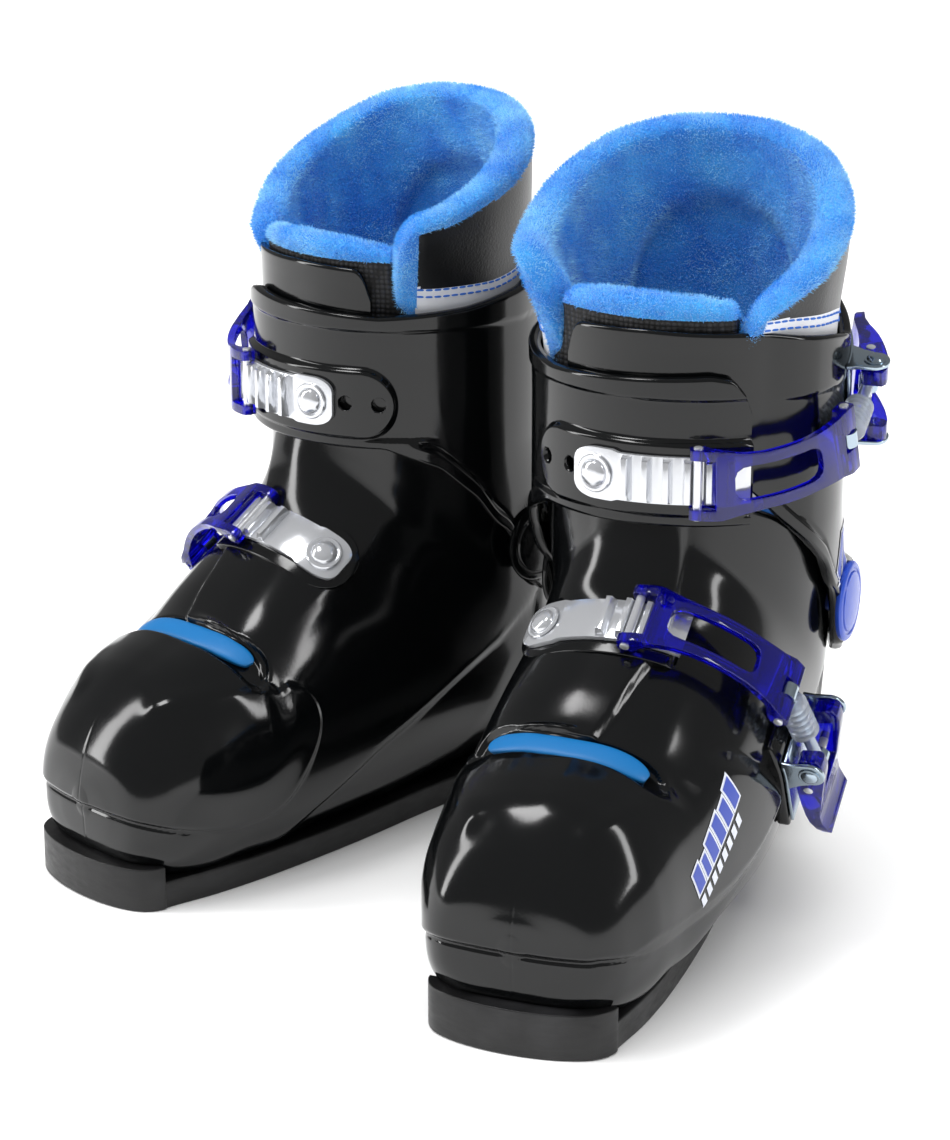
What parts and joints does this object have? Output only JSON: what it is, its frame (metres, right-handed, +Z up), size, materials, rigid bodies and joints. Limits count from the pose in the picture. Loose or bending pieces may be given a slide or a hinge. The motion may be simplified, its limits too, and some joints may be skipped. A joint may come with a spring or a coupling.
{
  "type": "alpine ski boots",
  "caption": "Pair of front-buckle junior alpine ski boots: rigid clog and hinged cuff, padded fleece liner, and a ladder-and-lever buckle on the instep and on the cuff.",
  "frame": {"origin": "middle of the left boot's sole, on the ground", "axes": "+Z up, -Y towards the left boot's toe, +X towards the outer side of the left boot; the right boot stands at -X, turned outwards"},
  "size_m": [0.2992, 0.301, 0.286],
  "materials": {
    "shell": "glossy",
    "gasket": "satin",
    "board": "matt",
    "footbed": "woven",
    "fleece": "fleece",
    "tongue": "mesh",
    "chrome": "polished",
    "zinc": "bright zinc plate",
    "lever": "glossy translucent",
    "clear": "glossy translucent",
    "cap": "glossy"
  },
  "bodies": {
    "left_shell": {"left_lower_shell": "shell", "left_toe_gasket": "gasket", "left_boot_board": "board", "left_footbed": "footbed", "left_liner_foot": "fleece", "left_cuff_pivot_lateral": "cap", "left_cuff_pivot_medial": "cap", "left_instep_ladder": "chrome", "left_instep_ladder_rivet": "chrome", "left_instep_base": "zinc"},
    "left_cuff_body": {"left_cuff": "shell", "left_liner_collar": "fleece", "left_liner_tongue": "tongue", "left_cuff_ladder": "chrome", "left_cuff_ladder_rivet": "chrome", "left_cuff_base": "zinc"},
    "left_cuff_lever_body": {"left_cuff_lever": "lever", "left_cuff_adjuster_pin": "chrome"},
    "left_cuff_adjuster_body": {"left_cuff_adjuster": "clear"},
    "left_cuff_bail_body": {"left_cuff_bail": "lever", "left_cuff_bail_pin": "chrome", "left_cuff_hook_pin": "chrome"},
    "left_instep_lever_body": {"left_instep_lever": "lever", "left_instep_adjuster_pin": "chrome"},
    "left_instep_adjuster_body": {"left_instep_adjuster": "clear"},
    "left_instep_bail_body": {"left_instep_bail": "lever", "left_instep_bail_pin": "chrome", "left_instep_hook_pin": "chrome"},
    "right_shell": {"right_lower_shell": "shell", "right_toe_gasket": "gasket", "right_boot_board": "board", "right_footbed": "footbed", "right_liner_foot": "fleece", "right_cuff_pivot_lateral": "cap", "right_cuff_pivot_medial": "cap", "right_instep_ladder": "chrome", "right_instep_ladder_rivet": "chrome", "right_instep_base": "zinc"},
    "right_cuff_body": {"right_cuff": "shell", "right_liner_collar": "fleece", "right_liner_tongue": "tongue", "right_cuff_ladder": "chrome", "right_cuff_ladder_rivet": "chrome", "right_cuff_base": "zinc"},
    "right_cuff_lever_body": {"right_cuff_lever": "lever", "right_cuff_adjuster_pin": "chrome"},
    "right_cuff_adjuster_body": {"right_cuff_adjuster": "clear"},
    "right_cuff_bail_body": {"right_cuff_bail": "lever", "right_cuff_bail_pin": "chrome", "right_cuff_hook_pin": "chrome"},
    "right_instep_lever_body": {"right_instep_lever": "lever", "right_instep_adjuster_pin": "chrome"},
    "right_instep_adjuster_body": {"right_instep_adjuster": "clear"},
    "right_instep_bail_body": {"right_instep_bail": "lever", "right_instep_bail_pin": "chrome", "right_instep_hook_pin": "chrome"}
  },
  "joints": [
    {"name": "pair_spacing", "type": "slide", "parent": "left_shell", "child": "right_shell", "axis": [-1, 0, 0], "range_m": [0, 0.1]},
    {"name": "left_cuff_flex", "type": "hinge", "parent": "left_shell", "child": "left_cuff_body", "pos_m": [0, 0.062, 0.108], "axis": [1, 0, 0], "range_deg": [0, 6], "stiffness_Nm_per_rad": 60},
    {"name": "left_cuff_lever_pivot", "type": "hinge", "parent": "left_cuff_body", "child": "left_cuff_lever_body", "pos_m": [0.07206, 0.05398, 0.18831], "axis": [-0.0507, 0.2796, -0.9588], "range_deg": [0, 105]},
    {"name": "left_cuff_adjuster_pivot", "type": "hinge", "parent": "left_cuff_lever_body", "child": "left_cuff_adjuster_body", "pos_m": [0.06682, 0.06475, 0.19155], "axis": [0.0965, -0.2581, 0.9613], "range_deg": [0, 105]},
    {"name": "left_cuff_bail_pivot", "type": "hinge", "parent": "left_cuff_adjuster_body", "child": "left_cuff_bail_body", "pos_m": [0.06928, 0.02741, 0.18094], "axis": [-0.0619, -0.2685, 0.9613], "range_deg": [0, 60]},
    {"name": "left_instep_lever_pivot", "type": "hinge", "parent": "left_shell", "child": "left_instep_lever_body", "pos_m": [0.07058, 0.00077, 0.07641], "axis": [0, -0.8412, -0.5408], "range_deg": [0, 105]},
    {"name": "left_instep_adjuster_pivot", "type": "hinge", "parent": "left_instep_lever_body", "child": "left_instep_adjuster_body", "pos_m": [0.06827, 0.00711, 0.06655], "axis": [0, 0.8412, 0.5408], "range_deg": [0, 105]},
    {"name": "left_instep_bail_pivot", "type": "hinge", "parent": "left_instep_adjuster_body", "child": "left_instep_bail_body", "pos_m": [0.06145, -0.01282, 0.09756], "axis": [0, 0.8412, 0.5408], "range_deg": [0, 60]},
    {"name": "right_cuff_flex", "type": "hinge", "parent": "right_shell", "child": "right_cuff_body", "pos_m": [-0.11441, 0.10811, 0.108], "axis": [0.9033, -0.4289, 0], "range_deg": [0, 6], "stiffness_Nm_per_rad": 60},
    {"name": "right_cuff_lever_pivot", "type": "hinge", "parent": "right_cuff_body", "child": "right_cuff_lever_body", "pos_m": [-0.18294, 0.13177, 0.18831], "axis": [-0.1657, -0.2308, 0.9588], "range_deg": [0, 105]},
    {"name": "right_cuff_adjuster_pivot", "type": "hinge", "parent": "right_cuff_lever_body", "child": "right_cuff_adjuster_body", "pos_m": [-0.17359, 0.13926, 0.19155], "axis": [0.1979, 0.1917, -0.9613], "range_deg": [0, 105]},
    {"name": "right_cuff_bail_pivot", "type": "hinge", "parent": "right_cuff_adjuster_body", "child": "right_cuff_bail_body", "pos_m": [-0.19183, 0.10658, 0.18094], "axis": [0.0592, 0.2691, -0.9613], "range_deg": [0, 60]},
    {"name": "right_instep_lever_pivot", "type": "hinge", "parent": "right_shell", "child": "right_instep_lever_body", "pos_m": [-0.20443, 0.08307, 0.07641], "axis": [0.3608, 0.7599, 0.5408], "range_deg": [0, 105]},
    {"name": "right_instep_adjuster_pivot", "type": "hinge", "parent": "right_instep_lever_body", "child": "right_instep_adjuster_body", "pos_m": [-0.19962, 0.08781, 0.06655], "axis": [-0.3608, -0.7599, -0.5408], "range_deg": [0, 105]},
    {"name": "right_instep_bail_pivot", "type": "hinge", "parent": "right_instep_adjuster_body", "child": "right_instep_bail_body", "pos_m": [-0.20201, 0.06687, 0.09756], "axis": [-0.3608, -0.7599, -0.5408], "range_deg": [0, 60]}
  ],
  "couplings": [
    {"joint": "left_cuff_adjuster_pivot", "follows": "left_cuff_lever_pivot", "ratio": 1},
    {"joint": "left_cuff_bail_pivot", "follows": "left_cuff_lever_pivot", "ratio": 0.57},
    {"joint": "left_instep_adjuster_pivot", "follows": "left_instep_lever_pivot", "ratio": 1},
    {"joint": "left_instep_bail_pivot", "follows": "left_instep_lever_pivot", "ratio": 0.57},
    {"joint": "right_cuff_adjuster_pivot", "follows": "right_cuff_lever_pivot", "ratio": 1},
    {"joint": "right_cuff_bail_pivot", "follows": "right_cuff_lever_pivot", "ratio": 0.57},
    {"joint": "right_instep_adjuster_pivot", "follows": "right_instep_lever_pivot", "ratio": 1},
    {"joint": "right_instep_bail_pivot", "follows": "right_instep_lever_pivot", "ratio": 0.57}
  ]
}
